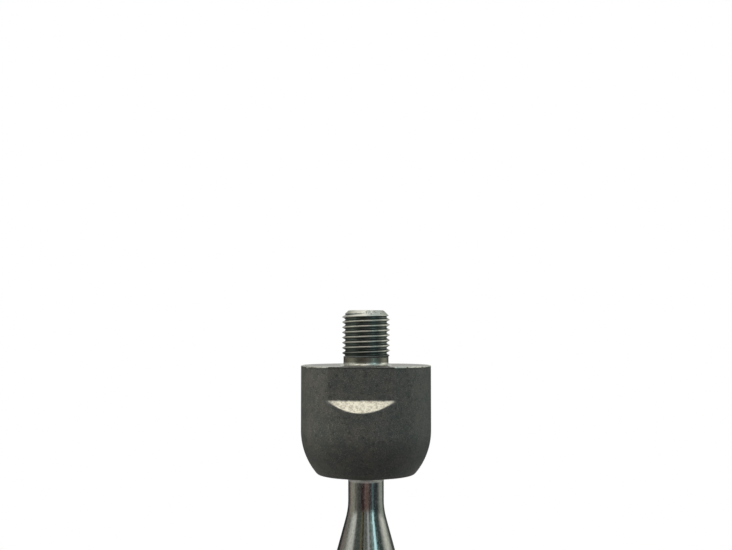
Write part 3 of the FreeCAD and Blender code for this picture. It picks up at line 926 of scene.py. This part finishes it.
# What the bright steel reflects: strips of the screen round the object. Each has the azimuth
# where it starts, the colour of its light and how softly its start blends with the strip before.
LOW_STRIPS = (
    (-180, (1.0, 1.0, 0.96), 0.5),
    (-167, (0.04, 0.045, 0.045), 2),
    (-131, (0.25, 0.21, 0.19), 3),
    (-113, (0.38, 0.37, 0.31), 4),
    (-76, (0.19, 0.19, 0.16), 6),
    (-57, (0.08, 0.08, 0.074), 7),
    (-31, (0.05, 0.026, 0.029), 3),
    (-10, (0.19, 0.127, 0.106), 3),
    (17, (0.068, 0.06, 0.064), 3),
    (37, (0.12, 0.2, 0.21), 2),
    (49, (0.044, 0.056, 0.062), 2),
    (90, (0.42, 0.46, 0.4), 13),
    (129, (0.09, 0.1, 0.095), 5),
    (167, (1.0, 1.0, 0.96), 2),
)
HIGH_STRIPS = (
    (-180, (1.0, 1.0, 0.96), 0.5),
    (-165, (0.235, 0.24, 0.215), 4),
    (-90, (0.82, 0.85, 0.78), 10),
    (-57, (0.1, 0.118, 0.105), 4),
    (-26, (0.24, 0.2, 0.12), 1),
    (-19.5, (0.03, 0.035, 0.022), 1),
    (-10, (0.27, 0.29, 0.26), 1.5),
    (-4, (0.14, 0.15, 0.135), 1),
    (7, (0.66, 0.7, 0.72), 1.5),
    (15.5, (0.13, 0.16, 0.13), 2),
    (25, (0.26, 0.36, 0.35), 2),
    (37, (1.15, 1.8, 1.9), 1.5),
    (47, (0.066, 0.094, 0.088), 2),
    (86, (1.05, 1.07, 0.96), 13),
    (124, (0.22, 0.24, 0.215), 9),
    (167, (1.0, 1.0, 0.96), 2),
)
TOP_STRIPS = (
    (-180, (0.7, 0.7, 0.68), 1),
    (-130, (0.6, 0.6, 0.55), 20),
    (-75, (1.2, 1.17, 1.08), 12),
    (20, (0.3, 0.36, 0.36), 12),
    (130, (0.6, 0.62, 0.6), 20),
)


def light_path_share(tree):
    """1 for the rays that show the background: camera, glossy and transmission rays."""
    path = tree.nodes.new("ShaderNodeLightPath")
    share = path.outputs["Is Camera Ray"]
    for name in ("Is Glossy Ray", "Is Transmission Ray"):
        node = tree.nodes.new("ShaderNodeMath")
        node.operation = "MAXIMUM"
        tree.links.new(share, node.inputs[0])
        tree.links.new(path.outputs[name], node.inputs[1])
        share = node.outputs[0]
    return share


def make_world():
    """A world that shows white and lights with plain grey, darker from below."""
    world = bpy.data.worlds.new("studio")
    bpy.context.scene.world = world
    world.use_nodes = True
    tree = world.node_tree
    grey = tree.nodes["Background"]
    direction = tree.nodes.new("ShaderNodeTexCoord")
    height = tree.nodes.new("ShaderNodeSeparateXYZ")
    rise = tree.nodes.new("ShaderNodeMapRange")
    rise.inputs["From Min"].default_value = -WORLD_BLEND
    rise.inputs["From Max"].default_value = WORLD_BLEND
    rise.inputs["To Min"].default_value = WORLD_BELOW
    rise.inputs["To Max"].default_value = WORLD_ABOVE
    tree.links.new(direction.outputs["Generated"], height.inputs[0])
    tree.links.new(height.outputs["Z"], rise.inputs["Value"])
    tree.links.new(rise.outputs[0], grey.inputs["Strength"])
    grey.inputs["Color"].default_value = (1, 1, 1, 1)
    white = tree.nodes.new("ShaderNodeBackground")
    white.inputs["Color"].default_value = (1, 1, 1, 1)
    white.inputs["Strength"].default_value = 1.0
    mix = tree.nodes.new("ShaderNodeMixShader")
    tree.links.new(light_path_share(tree), mix.inputs["Fac"])
    tree.links.new(grey.outputs[0], mix.inputs[1])
    tree.links.new(white.outputs[0], mix.inputs[2])
    tree.links.new(mix.outputs[0], tree.nodes["World Output"].inputs["Surface"])


def make_floor():
    """A plain pale floor under the rod's tip that fades to the white of the background."""
    mesh = bpy.data.meshes.new("floor")
    half = FLOOR_SIZE / 2
    corners = [(-half, -half, 0), (half, -half, 0), (half, half, 0), (-half, half, 0)]
    mesh.from_pydata(corners, [], [(0, 1, 2, 3)])
    floor = bpy.data.objects.new("floor", mesh)
    floor.location.z = FLOOR_HEIGHT
    bpy.context.scene.collection.objects.link(floor)
    floor.visible_diffuse = False
    finish = Finish("pale_floor")
    mesh.materials.append(finish.material)
    finish.set(Base_Color=FLOOR_COLOUR, Roughness=0.7)
    white = finish.new("ShaderNodeEmission")
    white.inputs["Strength"].default_value = 1.0
    far = finish.ramp(finish.from_axis(), *FLOOR_FADE)
    shown = finish.math("MULTIPLY", far, light_path_share(finish.tree))
    mix = finish.new("ShaderNodeMixShader")
    finish.join(shown, mix.inputs["Fac"])
    finish.join(finish.shader.outputs[0], mix.inputs[1])
    finish.join(white.outputs[0], mix.inputs[2])
    finish.join(mix.outputs[0], finish.tree.nodes["Material Output"].inputs["Surface"])


def from_azimuth(azimuth, distance, height):
    """A place at an azimuth to the right of the camera and a distance from the axis."""
    turn = math.radians(azimuth + CAMERA_AZIMUTH)
    return distance * math.sin(turn), -distance * math.cos(turn), height


def make_camera():
    """The camera of the photograph's side view, tilted slightly up."""
    data = bpy.data.cameras.new("camera")
    data.lens = CAMERA_LENS
    camera = bpy.data.objects.new("camera", data)
    camera.location = from_azimuth(0, CAMERA_DISTANCE, CAMERA_HEIGHT)
    camera.rotation_euler = (math.radians(90 + CAMERA_TILT), 0, math.radians(CAMERA_AZIMUTH))
    bpy.context.scene.collection.objects.link(camera)
    bpy.context.scene.camera = camera


def add_softbox(name, azimuth, elevation, distance, width, height, power, colour):
    """A soft lamp that faces the housing and that the camera doesn't see."""
    data = bpy.data.lights.new(name, "AREA")
    data.shape = "RECTANGLE"
    data.size = width
    data.size_y = height
    data.energy = power
    data.color = colour
    lamp = bpy.data.objects.new(name, data)
    rise = math.radians(elevation)
    lamp.location = from_azimuth(azimuth, distance * math.cos(rise), distance * math.sin(rise))
    lamp.rotation_euler = (math.radians(90 - elevation), 0, math.radians(azimuth + CAMERA_AZIMUTH))
    lamp.visible_camera = False
    lamp.visible_glossy = False
    bpy.context.scene.collection.objects.link(lamp)


def strip_ramp(finish, azimuth, strips):
    """The colours of a row of strips, with the blend that each gives between them."""
    node = finish.new("ShaderNodeValToRGB")
    finish.join(azimuth, node.inputs["Fac"])
    elements = node.color_ramp.elements
    stops = []
    for (start, colour, blend), following in zip(strips, strips[1:] + ((180, None, 0),)):
        stops.append(((start + blend + 180) / 360, colour))
        stops.append(((following[0] - following[2] + 180) / 360, colour))
    while len(elements) < len(stops):
        elements.new(1.0)
    for element, (position, colour) in zip(elements, stops):
        element.position = position
        element.color = (*(channel / SCREEN_STRENGTH for channel in colour), 1)
    return node.outputs["Color"]


def screen_profile():
    """The screen's outline as (distance, height, elevation): mat, wall and dome."""
    profile = []
    for share in SCREEN_MAT_SHARES:
        profile.append((SCREEN_RADIUS * share, SCREEN_MAT_HEIGHT, SCREEN_MAT_ELEVATION))
    for elevation in spaced(*SCREEN_WALL_ROWS):
        rise = math.radians(elevation)
        height = SCREEN_MIDDLE + SCREEN_RADIUS * math.sin(rise)
        profile.append((SCREEN_RADIUS * math.cos(rise), height, elevation))
    return profile


def screen_mesh():
    """The screen round the object, whose points know their azimuth and elevation."""
    azimuths = spaced(-180, 180, SCREEN_COLUMNS)
    profile = screen_profile()
    points = []
    for distance, height, elevation in profile:
        points += [from_azimuth(azimuth, distance, height) for azimuth in azimuths]
    index = np.arange(len(points)).reshape(len(profile), len(azimuths))
    corners = [index[:-1, :-1], index[:-1, 1:], index[1:, 1:], index[1:, :-1]]
    faces = np.stack([corner.ravel() for corner in corners], 1)
    mesh = bpy.data.meshes.new("reflection_screen")
    mesh.from_pydata(points, [], faces.tolist())
    turn, rise = np.meshgrid((azimuths + 180) / 360, [row[2] for row in profile])
    for name, values in (("azimuth", turn), ("elevation", rise)):
        layer = mesh.attributes.new(name, "FLOAT", "POINT")
        layer.data.foreach_set("value", values.ravel().astype(np.float32))
    return mesh


def make_screen():
    """The screen that only reflections show and that gives the bright steel its streaks."""
    mesh = screen_mesh()
    screen = bpy.data.objects.new("reflection_screen", mesh)
    bpy.context.scene.collection.objects.link(screen)
    finish = Finish("reflection_screen")
    azimuth = finish.mask("azimuth")
    elevation = finish.mask("elevation")
    low = strip_ramp(finish, azimuth, LOW_STRIPS)
    high = strip_ramp(finish, azimuth, HIGH_STRIPS)
    top = strip_ramp(finish, azimuth, TOP_STRIPS)
    mat = finish.mix(MAT_SHARE, low, [channel / SCREEN_STRENGTH for channel in MAT_COLOUR])
    low = finish.mix(finish.ramp(elevation, *MAT_ELEVATION), mat, low)
    wall = finish.mix(finish.ramp(elevation, *LOW_ELEVATION), low, high)
    glow = finish.new("ShaderNodeEmission")
    finish.join(finish.mix(finish.ramp(elevation, *HIGH_ELEVATION), wall, top), glow.inputs["Color"])
    glow.inputs["Strength"].default_value = SCREEN_STRENGTH
    finish.join(glow.outputs[0], finish.tree.nodes["Material Output"].inputs["Surface"])
    finish.material.cycles.emission_sampling = "NONE"
    mesh.materials.append(finish.material)
    screen.visible_camera = False
    screen.visible_diffuse = False
    screen.visible_shadow = False
    screen.visible_transmission = False


def light_studio():
    """A wide soft lamp above the camera, and fills from both sides and behind."""
    for name, settings in SOFTBOXES.items():
        add_softbox(name, *settings)


def dress_object():
    """Every piece with its material and body."""
    dress(make_housing(), housing_finish(), "socket", "socket_housing")
    dress(make_rod(), rod_finish(), "rod", "tie_rod")
    dress(make_nut(), nut_finish(), "nut", "jam_nut")
    acetal = plastic_finish()
    steel = spring_finish()
    dress_cad_node("rear_bearing", acetal)
    dress_cad_node("front_bearing", acetal)
    dress_cad_node("disc_spring", steel)
    dress_cad_node("backing_washer", steel)
    dress_cad_node("grease_film", grease_finish())


make_world()
make_floor()
make_camera()
make_screen()
light_studio()
dress_object()
bpy.context.scene.view_settings.view_transform = "Standard"
